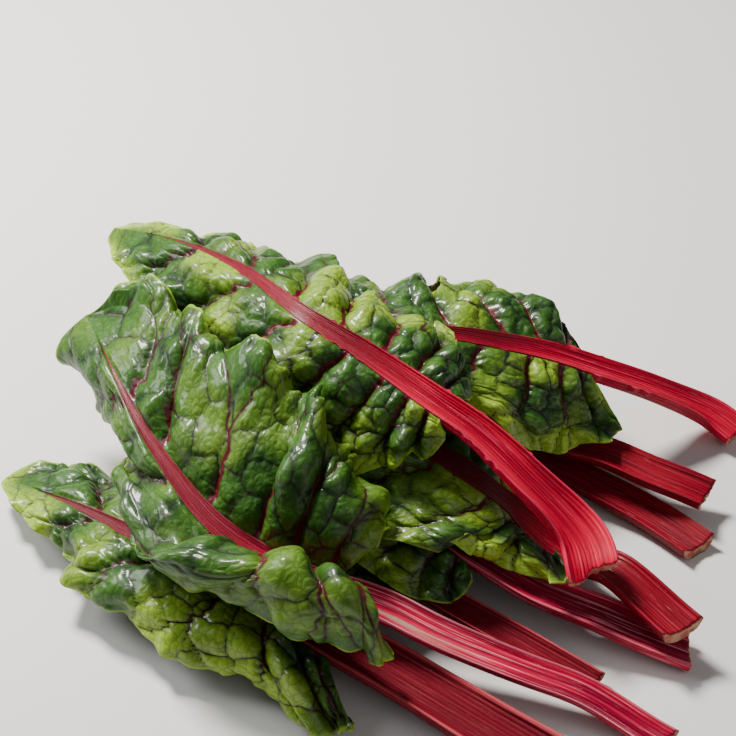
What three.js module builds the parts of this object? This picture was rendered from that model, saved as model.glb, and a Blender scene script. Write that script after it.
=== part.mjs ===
// A loose bunch of red-stalked chard leaves lying on a table.
// Millimetres, +Z up. The leaf tips point to -X and the cut stalk ends to +X.
import * as THREE from "three";

// Driving sizes
const BLADE_THICK = 0.8;
const SLIT_GAP = 0.6;
const TIP_JOIN = 0.95;
const TABLE_CLEAR = 0.3;
const LEAF_CLEAR = 3.5;
const HEIGHT_CELL = 2.5;
const SPINE_STEPS = 160;
const STALK_STEP = 14;
const SHIFT = [-73.9, 80.9];

// Corners of a stalk across its length, as parts of its half width: hollow on top, rounded below
const SECTION = [
  [1, 0.1], [0.6, -0.12], [0, -0.22], [-0.6, -0.12], [-1, 0.1],
  [-0.9, -0.4], [-0.5, -0.75], [0, -0.85], [0.5, -0.75], [0.9, -0.4],
];

// The leaves from the lowest to the highest. A route runs along the stalk and midrib from the cut end to the
// tip. stalk is half the width at the cut end and where the blade begins. near and far are the two halves of
// the blade: width is how far they reach from the midrib, lobe how far the base hangs back along the stalk,
// full how soon the half is at its full width and base the width of its lowest edge. notch cuts into the
// margin and swing moves it along the leaf: where on the blade, how much, how wide. A bend row is the place on
// the blade, then five slopes in degrees from the midrib to the margin.
const LEAVES = [
  {
    name: "leaf_1",
    red: 0x8e1526,
    green: 0x2c5a24,
    stalk: [11, 10],
    bladeFrom: 0.34,
    veins: 6,
    rowsPerVein: 2,
    cols: 5,
    seed: 8,
    pucker: 4,
    ruffle: 5,
    route: [
      [239, -9, 8], [205, -5, 8], [173, -8, 12], [148, -11, 14], [110, -16, 16],
      [70, -20, 16], [21, -25, 16], [-27, -33, 15], [-67, -42, 12], [-100, -53, 7],
    ],
    near: {
      width: 56,
      lobe: 8,
      full: 0.62,
      base: 5,
      notch: [],
      swing: [],
      bend: [
        [0, 0, -5, -10, -10, -10],
        [1, 0, -5, -10, -10, -10],
      ],
    },
    far: {
      width: 66,
      lobe: 8,
      full: 0.62,
      base: 5,
      notch: [],
      swing: [],
      bend: [
        [0, 0, -5, -10, -10, -10],
        [1, 0, -5, -10, -10, -10],
      ],
    },
  },
  {
    name: "leaf_2",
    red: 0x7c1222,
    green: 0x2f6428,
    stalk: [16, 14],
    bladeFrom: 0.4,
    veins: 6,
    rowsPerVein: 4,
    cols: 7,
    seed: 1,
    pucker: 7,
    ruffle: 7,
    route: [
      [288, -180, 11], [229, -182, 11], [162, -188, 19], [111, -197, 28], [46, -207, 34],
      [7, -210, 33], [-44, -211, 26], [-95, -213, 14],
    ],
    near: {
      width: 40,
      lobe: 70,
      full: 0.62,
      base: 24,
      notch: [],
      swing: [],
      bend: [
        [0, -5, -25, -35, -15, 25],
        [0.06, -5, -25, -35, -15, 25],
        [0.14, 10, 5, -30, -60, -90],
        [0.6, 15, 5, -25, -60, -90],
        [1, 0, -5, -10, -15, -20],
      ],
    },
    far: {
      width: 64,
      lobe: 8,
      full: 0.62,
      base: 5,
      notch: [],
      swing: [],
      bend: [
        [0, -15, -25, -20, -10, 0],
        [0.5, -15, -20, -15, -10, 0],
        [1, 0, -5, -5, -10, -10],
      ],
    },
  },
  {
    name: "leaf_3",
    red: 0x84182a,
    green: 0x3a6e2c,
    stalk: [8.5, 8],
    bladeFrom: 0.4,
    veins: 6,
    rowsPerVein: 2,
    cols: 5,
    seed: 6,
    pucker: 3,
    ruffle: 4,
    route: [
      [244, -124, 6], [201, -129, 13], [158, -134, 19], [135, -136, 24], [107, -135, 28],
      [71, -133, 30], [30, -127, 30], [-9, -121, 26],
    ],
    near: {
      width: 26,
      lobe: 8,
      full: 0.62,
      base: 5,
      notch: [],
      swing: [],
      bend: [
        [0, -35, -45, -50, -30, -20],
        [0.5, -25, -35, -30, -20, -10],
        [1, 0, -10, -10, -10, -10],
      ],
    },
    far: {
      width: 38,
      lobe: 8,
      full: 0.62,
      base: 5,
      notch: [],
      swing: [],
      bend: [
        [0, 0, 0, 0, 0, 0],
        [0.5, 0, 0, 0, 0, 0],
        [1, 0, -20, -20, -20, -20],
      ],
    },
  },
  {
    name: "leaf_4",
    red: 0x961a30,
    green: 0x33662a,
    stalk: [12, 10],
    bladeFrom: 0.4,
    veins: 6,
    rowsPerVein: 2,
    cols: 5,
    seed: 7,
    pucker: 3,
    ruffle: 4,
    route: [
      [272, -76, 9], [246, -85, 14], [226, -92, 19], [195, -104, 27], [173, -109, 34],
      [149, -112, 40], [122, -111, 44], [86, -108, 46], [50, -107, 46], [12, -105, 43],
      [-23, -104, 38],
    ],
    near: {
      width: 42,
      lobe: 8,
      full: 0.62,
      base: 5,
      notch: [],
      swing: [],
      bend: [
        [0, -20, -40, -50, -40, -30],
        [0.5, -20, -40, -50, -50, -40],
        [1, 0, -10, -10, -10, -10],
      ],
    },
    far: {
      width: 52,
      lobe: 8,
      full: 0.62,
      base: 5,
      notch: [],
      swing: [],
      bend: [
        [0, 0, -10, -30, -40, -50],
        [0.5, 0, -10, -30, -40, -50],
        [1, 0, -20, -20, -20, -20],
      ],
    },
  },
  {
    name: "leaf_5",
    red: 0x8e1526,
    green: 0x2c5a24,
    stalk: [11, 10],
    bladeFrom: 0.36,
    veins: 6,
    rowsPerVein: 2,
    cols: 5,
    seed: 9,
    pucker: 4,
    ruffle: 5,
    route: [
      [227, 19, 8], [194, 10, 15], [165, 4, 22], [143, -6, 30], [114, -15, 40],
      [77, -23, 48], [38, -28, 53], [-2, -33, 54], [-39, -35, 50], [-78, -37, 42],
    ],
    near: {
      width: 46,
      lobe: 8,
      full: 0.62,
      base: 5,
      notch: [],
      swing: [],
      bend: [
        [0, 0, -20, -30, -40, -50],
        [0.5, 0, -20, -30, -40, -50],
        [1, 0, -10, -10, -10, -10],
      ],
    },
    far: {
      width: 66,
      lobe: 8,
      full: 0.62,
      base: 5,
      notch: [],
      swing: [],
      bend: [
        [0, 0, -10, -20, -50, -60],
        [0.5, 0, -10, -20, -40, -50],
        [1, 0, -20, -20, -20, -20],
      ],
    },
  },
  {
    name: "leaf_6",
    red: 0x7c1222,
    green: 0x356a2a,
    stalk: [12, 11],
    bladeFrom: 0.24,
    veins: 7,
    rowsPerVein: 2,
    cols: 5,
    seed: 5,
    pucker: 6,
    ruffle: 8,
    route: [
      [268, -80, 9], [241, -75, 10], [213, -71, 12], [186, -69, 20], [162, -74, 36],
      [138, -89, 64], [102, -94, 74], [63, -96, 78], [27, -96, 78], [-11, -93, 72],
      [-50, -90, 62],
    ],
    near: {
      width: 50,
      lobe: 20,
      full: 0.62,
      base: 5,
      notch: [],
      swing: [],
      bend: [
        [0, -20, -35, -45, -50, -50],
        [0.5, -20, -40, -50, -60, -60],
        [1, 0, -20, -20, -20, -20],
      ],
    },
    far: {
      width: 50,
      lobe: 8,
      full: 0.62,
      base: 5,
      notch: [],
      swing: [],
      bend: [
        [0, 10, -10, -30, -50, -60],
        [0.5, 10, -10, -30, -50, -50],
        [1, 0, -20, -20, -20, -20],
      ],
    },
  },
  {
    name: "leaf_7",
    red: 0xa01b33,
    green: 0x3c7430,
    stalk: [11, 10],
    bladeFrom: 0.32,
    veins: 6,
    rowsPerVein: 4,
    cols: 7,
    seed: 4,
    pucker: 7,
    ruffle: 7,
    route: [
      [213, 82, 9], [191, 79, 18], [167, 57, 38], [143, 31, 58], [123, 9, 74],
      [104, -10, 84], [90, -23, 90], [74, -36, 94], [59, -42, 96], [44, -45, 96],
      [21, -44, 92], [-3, -41, 86], [-33, -37, 76], [-63, -35, 64],
    ],
    near: {
      width: 62,
      lobe: 32,
      full: 0.62,
      base: 5,
      notch: [],
      swing: [],
      bend: [
        [0, -30, -50, -55, -50, -40],
        [0.4, -25, -45, -60, -60, -60],
        [1, 0, -10, -20, -20, -20],
      ],
    },
    far: {
      width: 70,
      lobe: -14,
      full: 0.62,
      base: 5,
      notch: [],
      swing: [],
      bend: [
        [0, 30, 15, -20, -50, -60],
        [0.5, 15, 0, -35, -60, -60],
        [1, 0, -20, -20, -20, -20],
      ],
    },
  },
  {
    name: "leaf_8",
    red: 0xa81a2e,
    green: 0x3a6f2d,
    stalk: [14, 9.5],
    bladeFrom: 0.3,
    veins: 7,
    rowsPerVein: 4,
    cols: 7,
    seed: 3,
    pucker: 7,
    ruffle: 7,
    route: [
      [220, -94, 30], [206, -82, 46], [191, -79, 60], [166, -82, 78], [138, -83, 92],
      [112, -88, 103], [87, -90, 110], [65, -91, 115], [46, -92, 118], [26, -91, 119],
      [2, -85, 117], [-28, -76, 112], [-65, -69, 104], [-104, -66, 94], [-144, -65, 80],
    ],
    near: {
      width: 62,
      lobe: 8,
      full: 0.62,
      base: 5,
      notch: [],
      swing: [],
      bend: [
        [0, -30, -60, -80, -90, -90],
        [0.25, -30, -55, -70, -80, -80],
        [0.5, -20, -40, -50, -50, -50],
        [0.8, -15, -30, -40, -40, -40],
        [1, 0, -20, -20, -20, -20],
      ],
    },
    far: {
      width: 66,
      lobe: 8,
      full: 0.62,
      base: 5,
      notch: [],
      swing: [],
      bend: [
        [0, 8, -12, -45, -65, -75],
        [0.3, 6, -18, -50, -68, -75],
        [0.7, 0, -20, -50, -62, -62],
        [1, 5, -10, -20, -20, -20],
      ],
    },
  },
  {
    name: "leaf_9",
    red: 0x9a1a30,
    green: 0x2e6127,
    stalk: [8.5, 9.8],
    bladeFrom: 0.425,
    veins: 6,
    rowsPerVein: 4,
    cols: 8,
    seed: 2,
    pucker: 7,
    ruffle: 7,
    route: [
      [291, -133, 6], [255, -137, 9], [217, -148, 15], [173, -161, 24], [142, -169, 31],
      [109, -183, 40], [72, -192, 50], [41, -192, 58], [6, -183, 66], [-26, -171, 72],
      [-64, -152, 77], [-105, -129, 74],
    ],
    near: {
      width: 84,
      lobe: 42,
      full: 0.5,
      base: 30,
      notch: [[0.1, -0.3, 0.1], [0.66, 0.6, 0.2]],
      swing: [],
      bend: [
        [0, 74, 82, 20, -75, -100],
        [0.08, 76, 88, 25, -75, -100],
        [0.3, 78, 88, 25, -75, -100],
        [0.42, 72, 60, 0, -75, -100],
        [0.53, 0, -15, -55, -90, -110],
        [0.62, -45, -65, -90, -105, -115],
        [0.8, -50, -70, -90, -100, -110],
        [1, -10, -20, -30, -40, -50],
      ],
    },
    far: {
      width: 84,
      lobe: 14,
      full: 0.6,
      base: 20,
      notch: [[0.62, 0.26, 0.16]],
      swing: [],
      bend: [
        [0, 66, 92, 30, -15, -50],
        [0.08, 68, 95, 35, -20, -55],
        [0.3, 68, 92, 30, -15, -45],
        [0.45, 62, 50, 20, -12, -42],
        [0.7, 45, 35, 18, -5, -35],
        [1, 20, 10, -10, -30, -30],
      ],
    },
  },
];

const rad = (degrees) => degrees * Math.PI / 180;
const clamp = (x, a, b) => Math.min(Math.max(x, a), b);

function smooth(a, b, x) {
  const t = clamp((x - a) / (b - a), 0, 1);
  return t * t * (3 - 2 * t);
}

function add(a, b, k) {
  return [a[0] + b[0] * k, a[1] + b[1] * k, a[2] + b[2] * k];
}

function cross(a, b) {
  return [a[1] * b[2] - a[2] * b[1], a[2] * b[0] - a[0] * b[2], a[0] * b[1] - a[1] * b[0]];
}

function unit(a) {
  const n = Math.hypot(a[0], a[1], a[2]) || 1;
  return [a[0] / n, a[1] / n, a[2] / n];
}

// Smooth curve through the route points
function curvePoint(points, u) {
  const last = points.length - 1;
  const x = clamp(u, 0, 1) * last;
  const i = Math.min(Math.floor(x), last - 1);
  const w = x - i;
  const b = points[i];
  const c = points[i + 1];
  const a = i > 0 ? points[i - 1] : add([2 * b[0], 2 * b[1], 2 * b[2]], c, -1);
  const d = i < last - 1 ? points[i + 2] : add([2 * c[0], 2 * c[1], 2 * c[2]], b, -1);
  return [0, 1, 2].map((k) => 0.5 * (2 * b[k] + (c[k] - a[k]) * w
    + (2 * a[k] - 5 * b[k] + 4 * c[k] - d[k]) * w * w
    + (3 * b[k] - a[k] - 3 * c[k] + d[k]) * w * w * w));
}

// Fills in the leaf's midrib line by length, after the route was set or lifted
function measureSpine(leaf) {
  leaf.at = [0];
  for (let i = 1; i < leaf.line.length; i++) {
    const step = add(leaf.line[i], leaf.line[i - 1], -1);
    leaf.at.push(leaf.at[i - 1] + Math.hypot(...step));
  }
  leaf.length = leaf.at[leaf.at.length - 1];
  leaf.start = leaf.bladeFrom * leaf.length;
  leaf.bladeLength = leaf.length - leaf.start;
}

function spinePoint(leaf, x) {
  const at = leaf.at;
  const y = clamp(x, 0, leaf.length);
  let lo = 0;
  let hi = at.length - 1;
  while (hi - lo > 1) {
    const mid = (lo + hi) >> 1;
    if (at[mid] <= y) {
      lo = mid;
    } else {
      hi = mid;
    }
  }
  const w = (y - at[lo]) / (at[hi] - at[lo]);
  return add(leaf.line[lo], add(leaf.line[hi], leaf.line[lo], -1), w);
}

// Point on the midrib with its directions: along, to the near side and up from the leaf
function spineFrame(leaf, x) {
  const along = unit(add(spinePoint(leaf, x + 5), spinePoint(leaf, x - 5), -1));
  const up = unit(add([0, 0, 1], along, -along[2]));
  const out = cross(up, along);
  const over = x - clamp(x, 0, leaf.length);
  return { p: add(spinePoint(leaf, x), along, over), along, out, up };
}

function halfRib(leaf, x) {
  const [base, neck] = leaf.stalk;
  if (x < leaf.start) {
    return base + (neck - base) * smooth(0, leaf.start, x);
  }
  return Math.max(neck * Math.max(1 - (x - leaf.start) / leaf.bladeLength, 0) ** 1.35, 0.8);
}

// Slopes of the row at share v of the blade, blended between the given rows
function slopes(rows, v) {
  const out = rows[0].slice(1);
  for (let i = 0; i < rows.length - 1; i++) {
    const w = smooth(rows[i][0], rows[i + 1][0], v);
    for (let k = 0; k < 5; k++) {
      out[k] += w * (rows[i + 1][k + 1] - rows[i][k + 1]);
    }
  }
  return out;
}

// Side veins stand closer together near the base, and those of the far side are set between the near ones
function rowShare(leaf, g, side) {
  const v = g * (0.64 + 0.36 * g);
  if (side > 0) {
    return v;
  }
  return v + 0.45 / (leaf.veins + 1) * smooth(0.12, 0.3, g) * (1 - smooth(0.7, 0.86, g));
}

// Where a row leaves the midrib
function rowRoot(leaf, v) {
  return leaf.start + leaf.bladeLength * (0.3 * v + 0.7 * v ** 2.2);
}

// Bent leaf without its crumples. g runs from base to tip, s from midrib to margin, side 1 is near, -1 far
function bentPoint(leaf, g, s, side) {
  const half = side > 0 ? leaf.near : leaf.far;
  const v = rowShare(leaf, g, side);
  const angle = Math.PI * v;
  const reach = leaf.bladeLength + half.lobe;
  let edgeX = leaf.start - half.lobe + reach * (1 - Math.cos(angle)) / 2;
  let run = half.width * Math.max(Math.sin(angle), 0) ** half.full * (1 + 0.28 * Math.cos(angle));
  for (const [where, far, wide] of half.swing) {
    edgeX += far * Math.exp(-(((v - where) / wide) ** 2));
  }
  for (const [where, deep, wide] of half.notch) {
    run *= 1 - deep * Math.exp(-(((v - where) / wide) ** 2));
  }
  run += half.base * (1 - g) ** 12;
  const rootX = rowRoot(leaf, v);
  const rootY = g * leaf.rows < leaf.joined - 1e-6 ? halfRib(leaf, rootX) + SLIT_GAP : 0;
  const f = spineFrame(leaf, rootX + clamp(edgeX - rootX, -1.2 * run, 1.2 * run) * s ** 1.3);
  const slope = slopes(half.bend, v);
  let across = rootY;
  let rise = 0;
  for (let k = 0; k < 4; k++) {
    const w = clamp(s * 4 - k, 0, 1);
    const part = w * run / 4;
    const from = rad(slope[k]);
    const turn = rad(slope[k + 1] - slope[k]) * w;
    const d = Math.abs(turn) < 1e-3 ? 1e-3 : turn;
    across += part / d * (Math.sin(from + d) - Math.sin(from));
    rise += part / d * (Math.cos(from) - Math.cos(from + d));
  }
  return add(add(f.p, f.out, side * across), f.up, rise);
}

// Puckers between the side veins and the wave of the margin
function crumple(leaf, g, s, side) {
  const f = g * (leaf.veins + 1);
  const seed = leaf.seed * 1.7 + (side < 0 ? 5 : 0);
  const strength = 0.75 + 0.35 * Math.sin(2.3 * f + seed);
  const pucker = leaf.pucker * strength * (Math.abs(Math.sin(Math.PI * f)) ** 0.8 - 0.35)
    * Math.max(Math.sin(Math.PI * s ** 0.8), 0) ** 0.7
    * (1 + 0.5 * Math.sin(2 * Math.PI * (2.1 * s + 0.3 * Math.sin(1.9 * f + seed))));
  const wave = Math.sin(Math.PI * f + 1.5 * Math.sin(1.7 * f + seed)) + 0.6 * Math.sin(2 * Math.PI * f + seed);
  const fade = clamp(Math.sin(Math.PI * g) * 2, 0, 1) * smooth(0, 0.16, g);
  return (pucker + leaf.ruffle * wave * s * s) * fade;
}

// How far the leaf is pushed up by what it lies on, between the corners of its own grid
function liftAt(leaf, g, s, side) {
  const grid = side > 0 ? leaf.nearLift : leaf.farLift;
  if (!grid) {
    return 0;
  }
  const a = clamp(g, 0, 1) * leaf.rows;
  const b = clamp(s, 0, 1) * leaf.cols;
  const i = Math.min(Math.floor(a), leaf.rows - 1);
  const j = Math.min(Math.floor(b), leaf.cols - 1);
  const u = a - i;
  const w = b - j;
  return grid[i][j] * (1 - u) * (1 - w) + grid[i + 1][j] * u * (1 - w)
    + grid[i][j + 1] * (1 - u) * w + grid[i + 1][j + 1] * u * w;
}

function bladePoint(leaf, g, s, side) {
  const e = 0.004;
  const p = bentPoint(leaf, g, s, side);
  const du = add(bentPoint(leaf, Math.min(g + e, 1), s, side), bentPoint(leaf, Math.max(g - e, 0), s, side), -1);
  const ds = add(bentPoint(leaf, g, Math.min(s + e, 1), side), bentPoint(leaf, g, Math.max(s - e, 0), side), -1);
  const up = cross([du[0] * side, du[1] * side, du[2] * side], ds);
  const size = Math.hypot(...up) + 1e-9;
  const out = add(p, up, crumple(leaf, g, s, side) / size);
  out[2] += liftAt(leaf, g, s, side);
  return out;
}

function bladeGrid(leaf, side, rows, cols) {
  const grid = [];
  for (let i = 0; i <= rows; i++) {
    const row = [];
    for (let j = 0; j <= cols; j++) {
      row.push(bladePoint(leaf, i / rows, j / cols, side));
    }
    grid.push(row);
  }
  return grid;
}

function stalkRing(leaf, x) {
  const f = spineFrame(leaf, x);
  const m = halfRib(leaf, x);
  return SECTION.map(([a, b]) => {
    const q = add(add(f.p, f.out, a * m), f.up, b * m);
    q[2] = Math.max(q[2], 0);
    return q;
  });
}

// Highest point of the leaves already laid down, in square cells
const heights = new Map();

function noteHeight(p) {
  const key = Math.floor(p[0] / HEIGHT_CELL) * 1000 + Math.floor(p[1] / HEIGHT_CELL);
  if (!(heights.get(key) > p[2])) {
    heights.set(key, p[2]);
  }
}

function topAt(x, y) {
  let best = -50;
  for (let i = -1; i <= 1; i++) {
    for (let j = -1; j <= 1; j++) {
      const key = (Math.floor(x / HEIGHT_CELL) + i) * 1000 + Math.floor(y / HEIGHT_CELL) + j;
      best = Math.max(best, heights.get(key) ?? -50);
    }
  }
  return best;
}

function noteSheet(grid) {
  const n = 8;
  for (let i = 0; i < grid.length - 1; i++) {
    for (let j = 0; j < grid[i].length - 1; j++) {
      for (let k = 0; k <= n; k++) {
        for (let m = 0; m <= n; m++) {
          const a = k / n;
          const b = m / n;
          const p = [0, 1, 2].map((c) => grid[i][j][c] * (1 - a) * (1 - b) + grid[i + 1][j][c] * a * (1 - b)
            + grid[i][j + 1][c] * (1 - a) * b + grid[i + 1][j + 1][c] * a * b);
          noteHeight(p);
        }
      }
    }
  }
}

function spread(line) {
  const at = (i) => line[clamp(i, 0, line.length - 1)];
  return line.map((v, i) => 0.15 * at(i - 2) + 0.2 * at(i - 1) + 0.3 * v + 0.2 * at(i + 1) + 0.15 * at(i + 2));
}

// Raises the stalk and midrib over the leaves below
function liftSpine(leaf) {
  const need = leaf.at.map((x) => {
    const f = spineFrame(leaf, x);
    const m = halfRib(leaf, x);
    let most = 0;
    for (const a of [-1, -0.5, 0, 0.5, 1]) {
      const q = add(f.p, f.out, a * m);
      most = Math.max(most, topAt(q[0], q[1]) + LEAF_CLEAR - (q[2] - (0.85 - 0.3 * a * a) * m));
    }
    return most;
  });
  let lift = need;
  for (let k = 0; k < 60; k++) {
    lift = spread(lift).map((v, i) => Math.max(v, need[i]));
  }
  for (let k = 0; k < 6; k++) {
    lift = spread(lift);
  }
  leaf.line = leaf.line.map((p, i) => [p[0], p[1], p[2] + lift[i]]);
  measureSpine(leaf);
}

// Raises one half of the blade over the leaves below and over the table
function liftBlade(leaf, side) {
  const fine = 4;
  const rows = leaf.rows * fine;
  const cols = leaf.cols * fine;
  const base = bladeGrid(leaf, side, rows, cols);
  let lift = base.filter((_, i) => i % fine === 0).map((row) => row.filter((_, j) => j % fine === 0).map(() => 0));
  for (let round = 0; round < 3; round++) {
    if (side > 0) {
      leaf.nearLift = lift;
    } else {
      leaf.farLift = lift;
    }
    const need = base.map((row, i) => row.map((p, j) => {
      const z = p[2] + liftAt(leaf, i / rows, j / cols, side);
      return Math.max(Math.max(topAt(p[0], p[1]) + LEAF_CLEAR, TABLE_CLEAR) - z, 0);
    }));
    const want = lift.map((row, i) => row.map((v, j) => {
      let most = 0;
      for (let a = Math.max(i * fine - fine + 1, 0); a <= Math.min(i * fine + fine - 1, rows); a++) {
        for (let b = Math.max(j * fine - fine + 1, 0); b <= Math.min(j * fine + fine - 1, cols); b++) {
          most = Math.max(most, need[a][b]);
        }
      }
      return v + most;
    }));
    lift = want;
    for (let k = 0; k < 4; k++) {
      const old = lift;
      const at = (i, j) => old[clamp(i, 0, leaf.rows)][clamp(j, 0, leaf.cols)];
      lift = old.map((row, i) => row.map((v, j) => {
        const mean = (at(i - 1, j) + at(i + 1, j) + at(i, j - 1) + at(i, j + 1) + 2 * v) / 6;
        return Math.max(0.97 * mean, want[i][j]);
      }));
    }
    lift = lift.map((row, i) => row.map((v, j) => (i === leaf.rows ? 0 : v * smooth(0, 0.16, j / leaf.cols))));
  }
  if (side > 0) {
    leaf.nearLift = lift;
  } else {
    leaf.farLift = lift;
  }
}

// Closed solid from one list of corners and one list of triangles: the sheet is given its thickness
function thicken(points, faces) {
  const normals = points.map(() => [0, 0, 0]);
  for (const [a, b, c] of faces) {
    const n = cross(add(points[b], points[a], -1), add(points[c], points[a], -1));
    for (const k of [a, b, c]) {
      normals[k] = add(normals[k], n, 1);
    }
  }
  const count = points.length;
  const corners = [];
  for (const sign of [1, -1]) {
    points.forEach((p, i) => {
      const q = add(p, unit(normals[i]), sign * BLADE_THICK / 2);
      q[2] = Math.max(q[2], sign > 0 ? 0.65 : 0);
      corners.push(q);
    });
  }
  const solid = [];
  const edges = new Map();
  for (const [a, b, c] of faces) {
    solid.push([a, b, c], [a + count, c + count, b + count]);
    for (const [p, q] of [[a, b], [b, c], [c, a]]) {
      edges.set(p * count + q, [p, q]);
    }
  }
  for (const [p, q] of edges.values()) {
    if (!edges.has(q * count + p)) {
      solid.push([q, p, p + count], [q, p + count, q + count]);
    }
  }
  return { corners, solid };
}

// One blade: both halves, split by the midrib and grown together at the tip
function bladeBody(leaf) {
  const points = [];
  const faces = [];
  const grids = {};
  let tip = -1;
  const centre = [];
  for (const side of [1, -1]) {
    const grid = bladeGrid(leaf, side, leaf.rows, leaf.cols);
    grids[side] = grid.map((row, i) => row.map((p, j) => {
      if (i === leaf.rows) {
        if (tip < 0) {
          tip = points.push(p) - 1;
        }
        return tip;
      }
      if (j === 0 && i >= leaf.joined) {
        if (centre[i] === undefined) {
          centre[i] = points.push(p) - 1;
        }
        return centre[i];
      }
      return points.push(p) - 1;
    }));
  }
  for (const side of [1, -1]) {
    const g = grids[side];
    for (let i = 0; i < leaf.rows; i++) {
      for (let j = 0; j < leaf.cols; j++) {
        const quad = [g[i][j], g[i + 1][j], g[i + 1][j + 1], g[i][j + 1]];
        const [a, b, c, d] = side > 0 ? quad : [quad[3], quad[2], quad[1], quad[0]];
        for (const t of [[a, b, c], [a, c, d]]) {
          if (new Set(t).size === 3) {
            faces.push(t);
          }
        }
      }
    }
  }
  return thicken(points, faces);
}

// One stalk with its midrib, closed at the cut end and at the thin end
function stalkBody(leaf) {
  const n = SECTION.length;
  const last = rowRoot(leaf, rowShare(leaf, (leaf.joined - 1) / leaf.rows, 1));
  const end = last + 0.15 * (rowRoot(leaf, rowShare(leaf, leaf.joined / leaf.rows, 1)) - last);
  const count = Math.round(end / STALK_STEP);
  const corners = [];
  const solid = [];
  for (let i = 0; i <= count; i++) {
    corners.push(...stalkRing(leaf, end * i / count));
  }
  for (let i = 0; i < count; i++) {
    for (let j = 0; j < n; j++) {
      const a = i * n + j;
      const b = i * n + (j + 1) % n;
      solid.push([a, b, b + n], [a, b + n, a + n]);
    }
  }
  for (let j = 1; j < n - 1; j++) {
    solid.push([0, j + 1, j]);
    solid.push([count * n, count * n + j, count * n + j + 1]);
  }
  return { corners, solid };
}

function mesh(name, body, material) {
  const geometry = new THREE.BufferGeometry();
  const flat = body.corners.flatMap((p) => [p[0] + SHIFT[0], p[1] + SHIFT[1], p[2]]);
  geometry.setAttribute("position", new THREE.Float32BufferAttribute(flat, 3));
  geometry.setIndex(body.solid.flat());
  geometry.computeVertexNormals();
  const out = new THREE.Mesh(geometry, material);
  out.name = name;
  return out;
}

const bunch = new THREE.Group();
bunch.name = "chard_bunch";
for (const leaf of LEAVES) {
  leaf.rows = leaf.rowsPerVein * (leaf.veins + 1);
  leaf.joined = Math.min(Math.ceil(TIP_JOIN * leaf.rows), leaf.rows - 1);
  leaf.line = [];
  for (let i = 0; i <= SPINE_STEPS; i++) {
    leaf.line.push(curvePoint(leaf.route, i / SPINE_STEPS));
  }
  measureSpine(leaf);
  liftSpine(leaf);
  for (const side of [1, -1]) {
    liftBlade(leaf, side);
  }
  for (const side of [1, -1]) {
    noteSheet(bladeGrid(leaf, side, leaf.rows, leaf.cols));
  }
  const rings = [];
  for (let i = 0; i < 60; i++) {
    rings.push(stalkRing(leaf, leaf.length * i / 59).slice(0, 5));
  }
  noteSheet(rings);
  const red = new THREE.MeshStandardMaterial({ color: leaf.red, roughness: 0.45, metalness: 0 });
  const green = new THREE.MeshStandardMaterial({ color: leaf.green, roughness: 0.45, metalness: 0 });
  bunch.add(mesh(`${leaf.name}_stalk`, stalkBody(leaf), red));
  bunch.add(mesh(`${leaf.name}_blade`, bladeBody(leaf), green));
}

export default bunch;
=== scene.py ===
# %% [markdown]
# # A bunch of red-stalked chard
# Chard is picked as whole leaves. Each leaf is a broad red stalk that runs on as the midrib of a crinkled
# green blade. Nine such leaves lie in a loose heap, tips to one side and cut ends to the other.
# The model is loaded first. It gives the place and size of every stalk and blade, and the pieces made
# below take over those places with finer shapes.

# %% Load the frame
import math
import bpy
import numpy as np
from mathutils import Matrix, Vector


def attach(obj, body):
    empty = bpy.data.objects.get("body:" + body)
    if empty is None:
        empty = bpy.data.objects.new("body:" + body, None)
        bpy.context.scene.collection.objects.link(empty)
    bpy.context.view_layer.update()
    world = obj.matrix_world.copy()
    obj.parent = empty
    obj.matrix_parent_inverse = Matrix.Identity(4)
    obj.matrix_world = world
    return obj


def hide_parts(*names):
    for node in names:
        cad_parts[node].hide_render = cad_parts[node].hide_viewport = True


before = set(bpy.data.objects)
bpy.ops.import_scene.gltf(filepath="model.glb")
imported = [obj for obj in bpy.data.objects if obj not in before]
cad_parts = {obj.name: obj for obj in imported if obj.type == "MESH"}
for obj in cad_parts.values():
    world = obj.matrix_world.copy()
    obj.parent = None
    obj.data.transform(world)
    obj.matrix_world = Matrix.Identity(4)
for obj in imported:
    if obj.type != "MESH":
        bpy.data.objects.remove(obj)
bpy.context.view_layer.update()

# %% [markdown]
# ## The camera
# The heap is seen from above and from one side, as somebody at the table sees it. A long lens keeps
# the leaves from bulging. The camera comes first, so that every later step can be judged through it.

# %% Camera
HEAP_SHIFT = np.array([-73.9, 80.9, 0.0])  # from the leaf table to the middle of the heap, in millimetres
VIEW_AZIMUTH = math.radians(38)
VIEW_HEIGHT = math.radians(42)
VIEW_DISTANCE = 1.077  # metres
LENS, SENSOR = 85, 36


def look_at(thing, place, target):
    thing.location = place
    thing.rotation_euler = (Vector(target) - Vector(place)).to_track_quat("-Z", "Y").to_euler()


view_back = np.array([math.sin(VIEW_AZIMUTH) * math.cos(VIEW_HEIGHT),
                      -math.cos(VIEW_AZIMUTH) * math.cos(VIEW_HEIGHT), math.sin(VIEW_HEIGHT)])
view_right = np.array([math.cos(VIEW_AZIMUTH), math.sin(VIEW_AZIMUTH), 0.0])
heap_point = HEAP_SHIFT / 1000
bpy.ops.object.camera_add()
camera = bpy.context.object
camera.name = "table_view"
camera.data.lens = LENS
camera.data.sensor_width = SENSOR
look_at(camera, heap_point + view_back * VIEW_DISTANCE, heap_point)
bpy.context.scene.camera = camera
print("camera at", [round(v, 3) for v in camera.location])

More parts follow.
